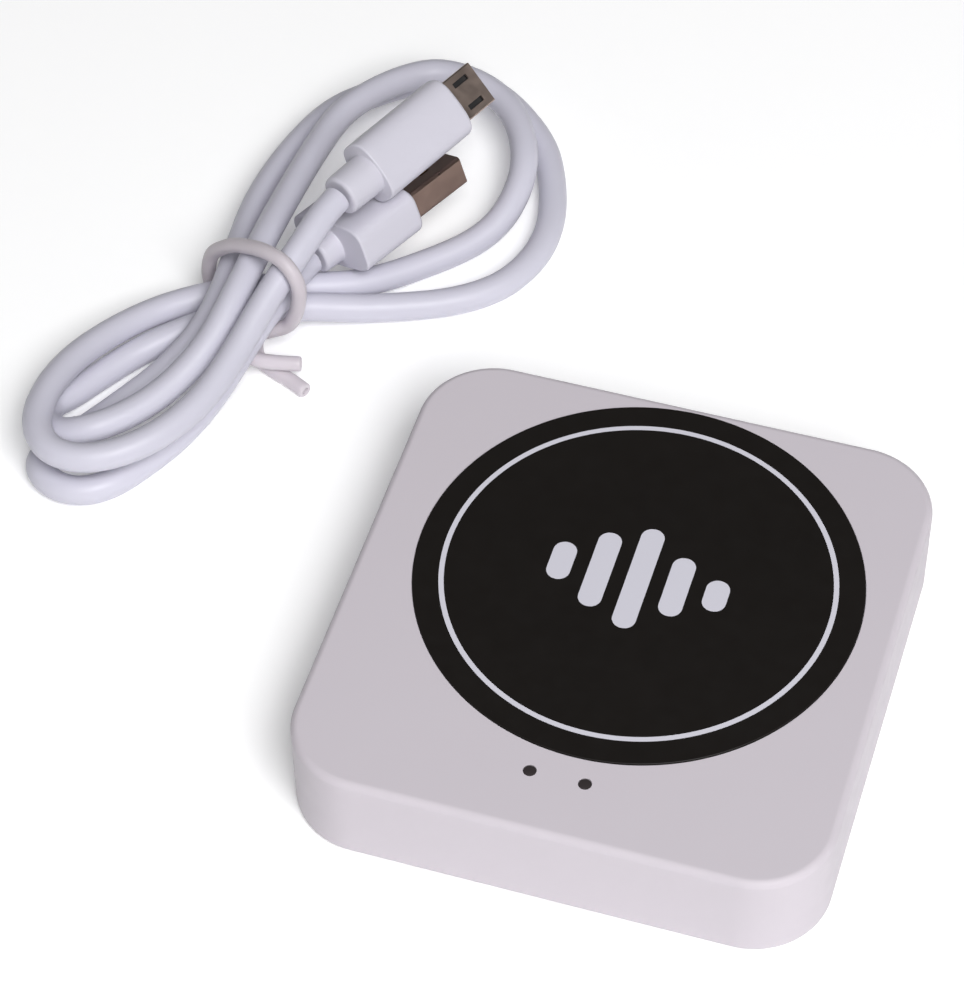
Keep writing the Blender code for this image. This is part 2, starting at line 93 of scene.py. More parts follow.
CABLE_DIAMETER = 4.2
CABLE_SOFTENING = 12
TIE_RADIUS = 1.1
TIE_SOFTENING = 6
TIE_RINGS = 150
TIE_SIDES = 28
# Each plug: its moulding face, yaw and roll
LARGE_PLUG = ((-55.1, 68.7, 8.3), 64, -22)
MICRO_PLUG = ((-48.8, 80.3, 18.5), 66.5, 40)
# The rounded rims of a plug's moulding
FRONT_ROUNDING = 0.8
REAR_ROUNDING = 0.3

# The cable's centre line, from the micro plug to the large plug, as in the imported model
CABLE_ROUTE = [
    # from the micro plug, through the tie, down to the first left loop
    (-58.6, 57.8, 18.5), (-59.6, 54.6, 18.2), (-61.0, 48.9, 16.9), (-62.5, 43.8, 15.2), (-63.8, 39.2, 13.5),
    (-65.1, 33.4, 11.5), (-66.6, 26.4, 10.0), (-68.7, 20.3, 9.4), (-72.0, 14.7, 9.2), (-76.2, 10.8, 9.0),
    (-80.5, 8.9, 8.9), (-84.9, 9.3, 8.9), (-88.2, 12.6, 8.8), (-89.6, 17.9, 8.4), (-89.2, 25.7, 7.2),
    (-86.6, 34.0, 5.5), (-81.8, 41.9, 4.1), (-75.6, 46.9, 4.0), (-69.4, 50.0, 4.3), (-63.4, 52.6, 3.9),
    # round the inner right loop, over the outer one
    (-57.4, 55.5, 3.0), (-53.7, 58.1, 2.5), (-48.4, 62.9, 2.2), (-42.0, 69.3, 2.6), (-39.1, 74.0, 3.8),
    (-38.0, 79.2, 5.4), (-38.6, 84.6, 6.6), (-41.6, 91.0, 7.0), (-45.9, 95.6, 7.0), (-51.2, 97.9, 7.0),
    (-56.8, 97.9, 7.2), (-62.1, 93.5, 7.7), (-67.1, 85.0, 8.4), (-68.4, 74.9, 9.2), (-68.7, 62.0, 10.8),
    # through the tie to the innermost left loop
    (-68.3, 49.9, 12.9), (-68.5, 41.4, 12.7), (-69.8, 34.2, 10.2), (-72.2, 28.5, 8.1), (-75.1, 23.5, 7.0),
    (-78.6, 19.0, 6.7), (-82.1, 16.1, 6.5), (-86.2, 15.6, 5.0), (-89.2, 17.6, 3.9), (-90.3, 21.3, 3.0),
    (-88.4, 24.7, 2.4), (-85.6, 29.8, 2.2), (-82.0, 35.2, 2.4), (-76.8, 40.0, 3.3), (-71.0, 43.7, 4.4),
    (-65.5, 46.6, 4.6), (-60.6, 49.1, 4.0), (-54.6, 51.6, 2.9), (-48.4, 54.3, 2.3), (-41.2, 57.8, 2.1),
    # round the outer right loop
    (-35.7, 62.5, 2.1), (-32.7, 68.9, 2.1), (-32.1, 75.6, 2.1), (-33.7, 83.0, 2.1), (-37.2, 91.0, 2.1),
    (-42.3, 96.7, 2.1), (-47.8, 100.6, 2.1), (-53.6, 102.0, 2.2), (-59.2, 100.7, 2.5), (-64.9, 95.8, 3.0),
    (-70.3, 89.0, 3.8), (-73.2, 78.4, 4.9), (-74.2, 65.2, 6.4), (-72.9, 53.3, 8.1), (-72.0, 43.9, 8.4),
    # through the tie to the lowest left loop
    (-73.4, 37.9, 6.0), (-77.1, 31.7, 2.9), (-80.4, 26.1, 2.2), (-83.0, 21.4, 2.1), (-85.4, 17.4, 2.1),
    (-87.6, 14.5, 2.1), (-88.1, 11.4, 2.1), (-85.5, 8.8, 2.1), (-81.3, 8.3, 2.1), (-77.4, 10.6, 2.1),
    (-74.2, 15.5, 2.1), (-71.0, 21.5, 2.5), (-68.3, 28.5, 4.1), (-66.3, 35.5, 6.7), (-64.7, 41.5, 8.7),
    # and up to the large plug
    (-63.1, 46.8, 9.2), (-62.9, 50.0, 8.9), (-62.6, 52.2, 8.5), (-62.1, 54.1, 8.3),
]

# The tie's centre line: one tail, under the bundle and once round it, then back under it to the other tail
TIE_ROUTE = [
    (-56.8, 35.8, 1.1), (-59.7, 37.2, 1.1), (-62.5, 38.3, 1.1), (-65.8, 40.2, 1.1), (-68.0, 45.6, 1.2),
    (-71.8, 48.0, 1.2), (-75.0, 49.6, 1.5), (-76.6, 50.4, 3.6), (-76.4, 50.3, 7.2), (-75.4, 49.9, 10.2),
    (-73.3, 48.9, 12.9), (-70.8, 47.7, 15.4), (-67.8, 46.3, 17.3), (-64.8, 44.9, 18.6), (-61.5, 43.4, 18.7),
    (-59.4, 42.4, 16.2), (-59.5, 42.4, 12.4), (-60.4, 42.7, 8.8), (-61.9, 42.9, 5.9), (-66.1, 41.9, 4.0),
    (-67.6, 39.8, 3.6), (-65.5, 37.7, 3.5), (-62.2, 37.8, 3.5), (-58.3, 38.6, 3.5),
]

# Camera: azimuth and elevation round the object, roll, and in metres what it looks at and from how far
CAMERA_AZIMUTH = math.radians(18.489)
CAMERA_ELEVATION = math.radians(50.613)
CAMERA_ROLL = math.radians(-1.551)
CAMERA_TARGET = Vector((-0.02673, 0.02452, 0))
CAMERA_DISTANCE = 0.4942
CAMERA_LENS = 126.58


def make_camera():
    az, el = CAMERA_AZIMUTH, CAMERA_ELEVATION
    back = Vector((math.sin(az) * math.cos(el), -math.cos(az) * math.cos(el), math.sin(el)))
    right = Vector((math.cos(az), math.sin(az), 0))
    up = back.cross(right)
    rolled_right = right * math.cos(CAMERA_ROLL) + up * math.sin(CAMERA_ROLL)
    rolled_up = up * math.cos(CAMERA_ROLL) - right * math.sin(CAMERA_ROLL)
    camera = bpy.data.objects.new("camera", bpy.data.cameras.new("camera"))
    camera.data.lens = CAMERA_LENS
    camera.data.sensor_width = 36
    camera.data.clip_start = 0.01
    camera.data.clip_end = 20
    turn = Matrix((rolled_right, rolled_up, back)).transposed().to_4x4()
    camera.matrix_world = Matrix.Translation(CAMERA_TARGET + back * CAMERA_DISTANCE) @ turn
    bpy.context.scene.collection.objects.link(camera)
    bpy.context.scene.camera = camera


# ---------------------------------------------------------------- materials

DRIFT_SCALE = 70
WEAR_SCALE = 420
DRAWN_SCALE = 900


def surface(
    name, colour, roughness, metallic=0.0, grain=2600, depth=4e-6, tint=0.025, spread=0.05, **constants,
):
    """A Principled material with fine surface grain, faint colour drift and uneven roughness."""
    material = bpy.data.materials.new(name)
    material.use_nodes = True
    material.diffuse_color = (*colour, 1)
    nodes = material.node_tree.nodes
    links = material.node_tree.links
    shader = nodes["Principled BSDF"]
    shader.inputs["Metallic"].default_value = metallic
    for socket, value in constants.items():
        shader.inputs[socket.replace("_", " ")].default_value = value
    where = nodes.new("ShaderNodeTexCoord").outputs["Object"]

    def noise(scale, detail):
        node = nodes.new("ShaderNodeTexNoise")
        node.inputs["Scale"].default_value = scale
        node.inputs["Detail"].default_value = detail
        links.new(where, node.inputs["Vector"])
        return node.outputs["Fac"]

    drift = nodes.new("ShaderNodeMix")
    drift.data_type = "RGBA"
    sockets = {socket.identifier: socket for socket in (*drift.inputs, *drift.outputs)}
    sockets["A_Color"].default_value = (*(c * (1 - tint) for c in colour), 1)
    sockets["B_Color"].default_value = (*(min(c * (1 + tint), 1) for c in colour), 1)
    links.new(noise(DRIFT_SCALE, 3), sockets["Factor_Float"])
    links.new(sockets["Result_Color"], shader.inputs["Base Color"])
    uneven = nodes.new("ShaderNodeMapRange")
    uneven.inputs["From Min"].default_value = 0.3
    uneven.inputs["From Max"].default_value = 0.7
    uneven.inputs["To Min"].default_value = roughness - spread
    uneven.inputs["To Max"].default_value = roughness + spread
    links.new(noise(WEAR_SCALE, 4), uneven.inputs["Value"])
    links.new(uneven.outputs["Result"], shader.inputs["Roughness"])
    bump = nodes.new("ShaderNodeBump")
    bump.inputs["Strength"].default_value = 1.0
    bump.inputs["Distance"].default_value = depth
    links.new(noise(grain, 3), bump.inputs["Height"])
    links.new(bump.outputs["Normal"], shader.inputs["Normal"])
    return material


def drawn_metal(name, colour, roughness):
    """Plated sheet metal, with fine drawing lines along one direction."""
    material = surface(name, colour, roughness, 1.0, DRAWN_SCALE, 2e-6, 0.08, 0.07)
    nodes = material.node_tree.nodes
    links = material.node_tree.links
    stretch = nodes.new("ShaderNodeMapping")
    stretch.inputs["Scale"].default_value = (1, 0.08, 1)
    noises = [n for n in nodes if n.type == "TEX_NOISE"]
    grain = next(n for n in noises if n.inputs["Scale"].default_value == DRAWN_SCALE)
    where = next(n for n in nodes if n.type == "TEX_COORD").outputs["Object"]
    links.new(where, stretch.inputs["Vector"])
    links.new(stretch.outputs["Vector"], grain.inputs["Vector"])
    return material


CASE = surface(
    "case_plastic", (0.556, 0.516, 0.56), 0.46, grain=3200, depth=5e-6, tint=0.012, Specular_IOR_Level=0.25,
)
LABEL = surface(
    "label_film", (0.0085, 0.007, 0.0062), 0.45, grain=5200, depth=2e-6, tint=0.1, Specular_IOR_Level=0.22,
)
PRINT = surface("label_print", (0.60, 0.59, 0.66), 0.5, grain=5200, depth=2e-6, tint=0.012)
WINDOW = surface("light_window", (0.032, 0.026, 0.027), 0.32, grain=1800, depth=3e-6, tint=0.1)
LED = surface("led_package", (0.8, 0.74, 0.5), 0.3)
BOARD = surface("circuit_board", (0.012, 0.13, 0.05), 0.36, grain=900, depth=1e-5, tint=0.15)
MODULE_BOARD = surface("module_board", (0.01, 0.05, 0.14), 0.36, grain=900, depth=1e-5, tint=0.15)
CHIP = surface("chip_plastic", (0.018, 0.018, 0.02), 0.55, grain=4000, depth=1e-5, tint=0.15)
NICKEL = drawn_metal("plated_steel", (0.27, 0.19, 0.16), 0.34)
BRIGHT_NICKEL = drawn_metal("bright_plated_steel", (0.42, 0.335, 0.295), 0.42)
TIN = surface("tinned_steel", (0.62, 0.6, 0.57), 0.32, 1.0, 700, 4e-6, 0.06, 0.08)
SCREW = surface("screw_steel", (0.34, 0.34, 0.36), 0.36, 1.0, 1500, 6e-6, 0.08, 0.08)
GOLD = surface("contact_gold", (0.83, 0.56, 0.2), 0.25, 1.0, 1500, 2e-6, 0.05, 0.05)
BLACK = surface("black_plastic", (0.014, 0.014, 0.015), 0.48, grain=2600, depth=8e-6, tint=0.15)
RUBBER = surface("foot_rubber", (0.1, 0.1, 0.105), 0.82, grain=2200, depth=2.5e-5, tint=0.12)
JACKET = surface(
    "cable_jacket", (0.56, 0.55, 0.63), 0.42, grain=1500, depth=6e-6, tint=0.02, Specular_IOR_Level=0.34,
    Subsurface_Weight=0.12, Subsurface_Scale=0.001, Subsurface_Radius=(1, 1, 1),
)
MOULDING = surface(
    "plug_moulding", (0.57, 0.556, 0.625), 0.44, grain=1700, depth=8e-6, tint=0.02, Specular_IOR_Level=0.34,
    Subsurface_Weight=0.12, Subsurface_Scale=0.001, Subsurface_Radius=(1, 1, 1),
)
VINYL = surface(
    "tie_vinyl", (0.56, 0.515, 0.555), 0.4, grain=1200, depth=1e-5, tint=0.03, Specular_IOR_Level=0.35,
    Subsurface_Weight=0.2, Subsurface_Scale=0.0012, Subsurface_Radius=(1, 1, 1),
)
# Painted shade: a dark grey for the floor of the tie's hollow ends, standing in for the shade inside them
TIE_END_SHADE = surface("tie_end_painted_shade", (0.16, 0.145, 0.15), 0.6, grain=1200, depth=1e-5, tint=0.1)

# ---------------------------------------------------------------- shapes


def rounded_rectangle(half_x, half_y, radius, segments):
    """Points of a rounded rectangle, anticlockwise."""
    points = []
    for quarter, (sx, sy) in enumerate(((1, 1), (-1, 1), (-1, -1), (1, -1))):
        for step in range(segments + 1):
            angle = math.radians(90 * (quarter + step / segments))
            x = sx * (half_x - radius) + radius * math.cos(angle)
            y = sy * (half_y - radius) + radius * math.sin(angle)
            points.append((x, y))
    return points


def superellipse(half_x, half_y, power, count=72):
    points = []
    for step in range(count):
        angle = 2 * math.pi * step / count
        c, s = math.cos(angle), math.sin(angle)
        x = half_x * math.copysign(abs(c) ** (2 / power), c)
        y = half_y * math.copysign(abs(s) ** (2 / power), s)
        points.append((x, y))
    return points


def circle(radius, count=64):
    return superellipse(radius, radius, 2, count)


def lofted(name, rings, ring=False):
    """A closed mesh through rings of points, capped at both ends or, if ring is set, joined into a ring."""
    bm = bmesh.new()
    rows = [[bm.verts.new(Vector(p) * MM) for p in points] for points in rings]
    pairs = list(zip(rows, rows[1:]))
    if ring:
        pairs.append((rows[-1], rows[0]))
    for low, high in pairs:
        for index in range(len(low)):
            after = (index + 1) % len(low)
            bm.faces.new((low[index], low[after], high[after], high[index]))
    if not ring:
        bm.faces.new(reversed(rows[0]))
        bm.faces.new(rows[-1])
    bmesh.ops.recalc_face_normals(bm, faces=bm.faces)
    mesh = bpy.data.meshes.new(name)
    bm.to_mesh(mesh)
    bm.free()
    return mesh


def level(outline, z):
    return [(x, y, z) for x, y in outline]


def fillet(steps, radius):
    """(inset, rise) pairs of a quarter round, from its foot to its top."""
    out = []
    for step in range(steps + 1):
        angle = math.radians(90 * step / steps)
        out.append((radius * (1 - math.cos(angle)), radius * math.sin(angle)))
    return out


def block(name, half_x, half_y, low, high, corner, top_edge=0.0, low_edge=0.0, segments=8, steps=4):
    """A block with rounded upright corners and rounded rims."""
    levels = []
    if low_edge:
        levels += [(inset, low + low_edge - rise) for inset, rise in reversed(fillet(steps, low_edge))]
    else:
        levels.append((0, low))
    if top_edge:
        levels += [(inset, high - top_edge + rise) for inset, rise in fillet(steps, top_edge)]
    else:
        levels.append((0, high))
    rings = []
    for inset, z in levels:
        radius = max(corner - inset, 0.02)
        rings.append(level(rounded_rectangle(half_x - inset, half_y - inset, radius, segments), z))
    return lofted(name, rings)


def turned(name, profile, count=64, ring=False):
    """A turned solid: the profile is (radius, z) pairs."""
    return lofted(name, [level(circle(max(radius, 0.005), count), z) for radius, z in profile], ring)


def at(x, y, z=0.0):
    return Matrix.Translation(Vector((x, y, z)) * MM)


def facing_rear(x, z, y=HALF_DEPTH):
    """Turns a shape's +Z to +Y, with its origin at the point on the rear wall."""
    return at(x, y, z) @ Matrix.Rotation(-math.pi / 2, 4, "X")


def plug_frame(face, yaw, roll):
    """A frame at a plug's moulding face, with +Z along the plug to its tip and +X across its wide side."""
    along = Vector((math.cos(math.radians(yaw)), math.sin(math.radians(yaw)), 0))
    flat = Vector((along.y, -along.x, 0))
    wide = Matrix.Rotation(math.radians(roll), 3, along) @ flat
    turn = Matrix((wide, along.cross(wide), along)).transposed().to_4x4()
    return at(*face) @ turn


def carved(mesh, changes):
    """The mesh with each (mesh, place, operation) of changes cut from it or joined to it."""
    scene = bpy.context.scene.collection
    body = bpy.data.objects.new("carving", mesh)
    scene.objects.link(body)
    tools = []
    for index, (tool_mesh, place, operation) in enumerate(changes):
        tool = bpy.data.objects.new(f"tool_{index}", tool_mesh)
        tool.matrix_world = place
        scene.objects.link(tool)
        tools.append(tool)
        modifier = body.modifiers.new(tool.name, "BOOLEAN")
        modifier.operation = operation
        modifier.solver = "EXACT"
        modifier.object = tool
    bpy.context.view_layer.update()
    graph = bpy.context.evaluated_depsgraph_get()
    result = bpy.data.meshes.new_from_object(body.evaluated_get(graph))
    result.name = mesh.name
    for obj in (body, *tools):
        bpy.data.objects.remove(obj)
    return result


def joined(name, meshes):
    """One mesh of several, each (mesh, material index)."""
    bm = bmesh.new()
    for mesh, index in meshes:
        before = len(bm.faces)
        bm.from_mesh(mesh)
        bm.faces.ensure_lookup_table()
        for face in bm.faces[before:]:
            face.material_index = index
    out = bpy.data.meshes.new(name)
    bm.to_mesh(out)
    bm.free()
    return out


def piece(name, mesh, materials, place=None, body=HOUSING, nodes=(), sharp=32):
    obj = bpy.data.objects.new(name, mesh)
    bpy.context.scene.collection.objects.link(obj)
    obj.matrix_world = place or Matrix.Identity(4)
    for index, material in enumerate(materials):
        if index < len(obj.data.materials):
            obj.data.materials[index] = material
        else:
            obj.data.materials.append(material)
    if obj.type == "MESH":
        mesh.shade_smooth()
        mesh.set_sharp_from_angle(angle=math.radians(sharp))
        weighted = obj.modifiers.new("weighted_normals", "WEIGHTED_NORMAL")
        weighted.keep_sharp = True
        weighted.weight = 80
    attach(obj, body)
    if nodes:
        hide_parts(*nodes)
    return obj


# ---------------------------------------------------------------- cable and tie


def smooth_curve(route, samples=10):
    """Points of a centripetal Catmull-Rom curve through the route."""
    points = [Vector(p) for p in route]
    points = [2 * points[0] - points[1], *points, 2 * points[-1] - points[-2]]
    out = []
    for a, b, c, d in zip(points, points[1:], points[2:], points[3:]):
        t1 = math.sqrt((b - a).length)
        t2 = t1 + math.sqrt((c - b).length)
        t3 = t2 + math.sqrt((d - c).length)
        for step in range(samples):
            t = t1 + (t2 - t1) * step / samples
            ab = a.lerp(b, t / t1)
            bc = b.lerp(c, (t - t1) / (t2 - t1))
            cd = c.lerp(d, (t - t2) / (t3 - t2))
            abc = ab.lerp(bc, t / t2)
            bcd = bc.lerp(cd, (t - t1) / (t3 - t1))
            out.append(abc.lerp(bcd, (t - t1) / (t2 - t1)))
    out.append(points[-2])
    return out


def softened(points, rounds):
    """The line with its small kinks evened out, its ends kept."""
    for _ in range(rounds):
        inner = [(a + 2 * b + c) / 4 for a, b, c in zip(points, points[1:], points[2:])]
        points = [points[0], *inner, points[-1]]
    return points


def make_cable():
    curve = bpy.data.curves.new("charging_cable", "CURVE")
    curve.dimensions = "3D"
    curve.bevel_depth = CABLE_DIAMETER / 2 * MM
    curve.bevel_resolution = 7
    curve.use_fill_caps = True
    points = softened(smooth_curve(CABLE_ROUTE), CABLE_SOFTENING)
    spline = curve.splines.new("POLY")
    spline.points.add(len(points) - 1)
    for point, where in zip(spline.points, points):
        point.co = (*(where * MM), 1)
    spline.use_smooth = True
    return piece("charging_cable", curve, [JACKET], nodes=("usb_cable",))


def make_tie():
    """A vinyl tube tie. Its cut ends are hollow, and the face a little way in is painted dark as the shade
    inside the hollow.
    """
    path = softened(smooth_curve(TIE_ROUTE), TIE_SOFTENING)
    lengths = [0.0]
    for a, b in zip(path, path[1:]):
        lengths.append(lengths[-1] + (b - a).length)
    total = lengths[-1]
    stations = [(1.3, 0.42), (0.25, 0.46), (0.0, 0.56), (0.0, 0.86), (0.08, 1.0), (0.25, TIE_RADIUS)]
    middle = [(0.25 + (total - 0.5) * k / TIE_RINGS, TIE_RADIUS) for k in range(1, TIE_RINGS)]
    stations += middle + [(total - s, r) for s, r in reversed(stations)]
    normal = Vector((0, 0, 1))
    frames = []
    for index, point in enumerate(path):
        along = (path[min(index + 1, len(path) - 1)] - path[max(index - 1, 0)]).normalized()
        normal = (normal - along * normal.dot(along)).normalized()
        frames.append((point, normal.copy(), along.cross(normal)))
    rings = []
    for s, radius in stations:
        index = max(i for i, length in enumerate(lengths[:-1]) if length <= s)
        share = (s - lengths[index]) / (lengths[index + 1] - lengths[index])
        centre, across, other = (a.lerp(b, share) for a, b in zip(frames[index], frames[index + 1]))
        turns = [2 * math.pi * k / TIE_SIDES for k in range(TIE_SIDES)]
        rings.append([centre + (across * math.cos(t) + other * math.sin(t)) * radius for t in turns])
    mesh = lofted("tie", rings)
    # The two end faces deep in the hollows take the painted shade material
    for face in (mesh.polygons[-1], mesh.polygons[-2]):
        face.material_index = 1
    return piece("tie", mesh, [VINYL, TIE_END_SHADE], nodes=("twist_tie",), sharp=50)


# ---------------------------------------------------------------- plugs


def moulding_mesh(name, half_x, half_y, length, power, relief_radius, relief_length):
    """A plug's moulded grip, a rounded shoulder behind it and a round collar that the cable enters."""
    rings = []
    front = [(inset, rise - FRONT_ROUNDING) for inset, rise in reversed(fillet(6, FRONT_ROUNDING))]
    rear = [(inset, -(length - REAR_ROUNDING + rise)) for inset, rise in fillet(6, REAR_ROUNDING)]
    for inset, z in front + rear:
        rings.append(level(superellipse(half_x - inset, half_y - inset, power), z))
    neck = relief_radius
    end = length + relief_length
    for radius, z in ((neck + 0.3, length), (neck + 0.08, length + 0.12), (neck, length + 0.35)):
        rings.append(level(circle(radius, 72), -z))
    lip = 0.97 * neck
    for radius, z in ((lip, end - 0.5), (lip - 0.1, end - 0.22), (lip - 0.3, end - 0.06), (lip - 0.5, end)):
        rings.append(level(circle(radius, 72), -z))
    rings.append(level(circle(CABLE_DIAMETER / 2 + 0.02, 72), -end))
    return lofted(name, rings)


def shell_mesh(name, outline, inner, length, windows):
    """A folded sheet metal shell, open at the tip, with latch windows through its wide faces."""
    low, high = GAP, GAP + length
    outer = lofted(name, [level(outline, low), level(outline, high)])
    hollow = lofted("hollow", [level(inner, low + 0.6), level(inner, high + 1)])
    changes = [(hollow, Matrix.Identity(4), "DIFFERENCE")]
    for x, y, z, half_x, half_z, deep in windows:
        cut = block("window", half_x, half_z, -deep, deep, min(half_x, half_z) * 0.35, segments=3)
        changes.append((cut, at(x, y, z) @ Matrix.Rotation(math.pi / 2, 4, "X"), "DIFFERENCE"))
    return carved(outer, changes)


def tongue_mesh(name, half_x, half_y, low, high, contacts, contact_half, side):
    """A plastic tongue with gold contacts lying on one face."""
    parts = [(block(name, half_x, half_y, low, high, 0.1, segments=2), 0)]
    for x in contacts:
        strip = block("contact", contact_half, 0.05, low + 0.6, high - 0.5, 0.04, segments=2)
        strip.transform(at(x, side * (half_y + 0.03)))
        parts.append((strip, 1))
    return joined(name, parts)


def make_plugs():
    made = []

    def fitted(name, mesh, materials, place, node):
        """Turns the mesh itself to its place, so that its own box is a close one."""
        mesh.transform(place)
        made.append(piece(name, mesh, materials, nodes=(node,)))

    place = plug_frame(*LARGE_PLUG)
    moulding = moulding_mesh("large_moulding", 7.7, 3.9, 11.8, 4.2, 3.0, 3.4)
    fitted("large_plug_grip", moulding, [MOULDING], place, "large_plug_moulding")
    outline = rounded_rectangle(6.0, 2.25, 0.5, 5)
    inner = rounded_rectangle(5.6, 1.85, 0.2, 3)
    windows = [(x, y, 5.6, 1.15, 1.0, 1.0) for x in (-2.6, 2.6) for y in (-2.25, 2.25)]
    shell = shell_mesh("large_shell", outline, inner, 10.4, windows)
    fitted("large_plug_case", shell, [NICKEL], place, "large_plug_shell")
    tongue = tongue_mesh("large_tongue", 5.2, 0.9, 1.2, 9.2, (-3.5, -1.0, 1.0, 3.5), 0.5, -1)
    fitted("large_plug_core", tongue, [BLACK, GOLD], place, "large_plug_tongue")

    place = plug_frame(*MICRO_PLUG)
    moulding = moulding_mesh("micro_moulding", 4.9, 3.5, 18.0, 2.9, 3.2, 6.0)
    fitted("micro_plug_grip", moulding, [MOULDING], place, "micro_plug_moulding")
    outline = [(3.425, -0.75), (3.425, 0.1), (2.75, 0.925), (-2.75, 0.925), (-3.425, 0.1), (-3.425, -0.75)]
    outline += [(-3.25, -0.925), (3.25, -0.925)]
    inner = [(3.1, -0.6), (3.1, 0.05), (2.6, 0.62), (-2.6, 0.62), (-3.1, 0.05), (-3.1, -0.6)]
    windows = [(x, -0.925, 3.6, 0.42, 1.5, 0.5) for x in (-1.95, 1.95)]
    shell = shell_mesh("micro_shell", outline, inner, 6.3, windows)
    fitted("micro_plug_case", shell, [BRIGHT_NICKEL], place, "micro_plug_shell")
    tongue = tongue_mesh("micro_tongue", 2.45, 0.22, 1.2, 6.0, (-1.3, -0.65, 0, 0.65, 1.3), 0.17, 1)
    fitted("micro_plug_core", tongue, [BLACK, GOLD], place, "micro_plug_tongue")
    return made


# ---------------------------------------------------------------- the receiver


def rear_hole(name, radius, count):
    """A cutter for a round hole in the rear wall, with a broken edge outside."""
    profile = [(radius, -3), (radius, -0.15), (radius + 0.16, 0.01), (radius + 0.16, 2)]
    return turned(name, profile, count)


def make_top_cover():
    outer = block(
        "cover",
        HALF_WIDTH,
        HALF_DEPTH,
        FOOT_LIFT,
        TOP_Z,
        CORNER_RADIUS,
        EDGE_RADIUS,
        low_edge=0.25,
        segments=24,
        steps=8,
    )
    ceiling = TOP_Z - WALL - RECESS_DEPTH
    cavity = block(
        "cavity",
        HALF_WIDTH - WALL,
        HALF_DEPTH - WALL,
        FOOT_LIFT - 1,
        ceiling,
        CORNER_RADIUS - WALL,
        top_edge=0.6,
        segments=16,
    )
    changes = [(cavity, Matrix.Identity(4), "DIFFERENCE")]
    for x, y in CASE_SCREWS:
        post_low = FOOT_LIFT + BASE_THICKNESS + GAP
        post = turned("post", [(POST_RADIUS, post_low), (POST_RADIUS, ceiling + 0.4)], 32)
        changes.append((post, at(x, y), "UNION"))
        pilot = turned("pilot", [(CASE_PILOT_RADIUS, 1), (CASE_PILOT_RADIUS, 10)], 24)
        changes.append((pilot, at(x, y), "DIFFERENCE"))
    edge = LABEL_RADIUS + LABEL_SLIT
    profile = [(edge, TOP_Z - RECESS_DEPTH), (edge, TOP_Z - 0.05)]
    profile += [(edge + 0.05, TOP_Z + 0.01), (edge + 0.05, 17)]
    changes.append((turned("recess", profile, 160), at(*LABEL_CENTRE), "DIFFERENCE"))
    edge = LIGHT_RADIUS + LIGHT_SLIT
    profile = [(edge, 10), (edge, TOP_Z - 0.03), (edge + 0.03, TOP_Z + 0.01), (edge + 0.03, 17)]
    for x in LIGHT_X:
        changes.append((turned("hole", profile, 40), at(x, LIGHT_Y), "DIFFERENCE"))
    inlet = lofted(
        "inlet",
        [
            level(rounded_rectangle(4.1, 1.7, 1.0, 6), -3),
            level(rounded_rectangle(4.1, 1.7, 1.0, 6), -0.2),
            level(rounded_rectangle(4.32, 1.92, 1.2, 6), 0.02),
            level(rounded_rectangle(4.32, 1.92, 1.2, 6), 2),
        ],
    )
    changes.append((inlet, facing_rear(*INLET), "DIFFERENCE"))
    button = rear_hole("button_hole", BUTTON_RADIUS + 0.2, 48)
    changes.append((button, facing_rear(*BUTTON_PLACE), "DIFFERENCE"))
    changes.append((rear_hole("jack_hole", JACK_HOLE_RADIUS, 64), facing_rear(*JACK), "DIFFERENCE"))
    piece("case_top", carved(outer, changes), [CASE], nodes=("top_cover",))


def make_bottom_cover():
    inset = WALL + GAP
    floor = FOOT_LIFT + BASE_THICKNESS
    plate = block(
        "base",
        HALF_WIDTH - inset,
        HALF_DEPTH - inset,
        FOOT_LIFT,
        floor,
        CORNER_RADIUS - inset,
        0.15,
        0.2,
        segments=16,
        steps=3,
    )
    changes = []
    standoff = [(STANDOFF_RADIUS, floor - 0.4), (STANDOFF_RADIUS, STANDOFF_TOP)]
    pilot = [(BOARD_PILOT_RADIUS, floor - 0.8), (BOARD_PILOT_RADIUS, 4.4)]
    for x, y in BOARD_SCREWS:
        changes.append((turned("standoff", standoff, 32), at(x, y), "UNION"))
        changes.append((turned("pilot", pilot, 24), at(x, y), "DIFFERENCE"))
    edge = HEAD_HOLE_RADIUS
    head = [(edge + 0.22, -1), (edge + 0.22, FOOT_LIFT)]
    head += [(edge + 0.02, FOOT_LIFT + 0.2), (edge, FOOT_LIFT + 1.0)]
    through = [(CASE_PILOT_RADIUS, -1), (CASE_PILOT_RADIUS, 4)]
    for x, y in CASE_SCREWS:
        changes.append((turned("through", through, 24), at(x, y), "DIFFERENCE"))
        changes.append((turned("head", head, 40), at(x, y), "DIFFERENCE"))
    edge = FOOT_RECESS_RADIUS
    recess = [(edge + 0.15, -1), (edge + 0.15, FOOT_LIFT)]
    recess += [(edge, FOOT_LIFT + 0.15), (edge, FOOT_HEIGHT + GAP)]
    for x, y in FEET:
        changes.append((turned("recess", recess, 64), at(x, y), "DIFFERENCE"))
    piece("case_base", carved(plate, changes), [CASE], nodes=("bottom_cover",))


def cross_recess(depth, across):
    """The two bars of a cross recess, cut upwards from z 0."""
    return [
        (block("bar", a, b, -1, depth, 0.05, segments=2), Matrix.Identity(4), "DIFFERENCE")
        for a, b in ((across, 0.22), (0.22, across))
    ]


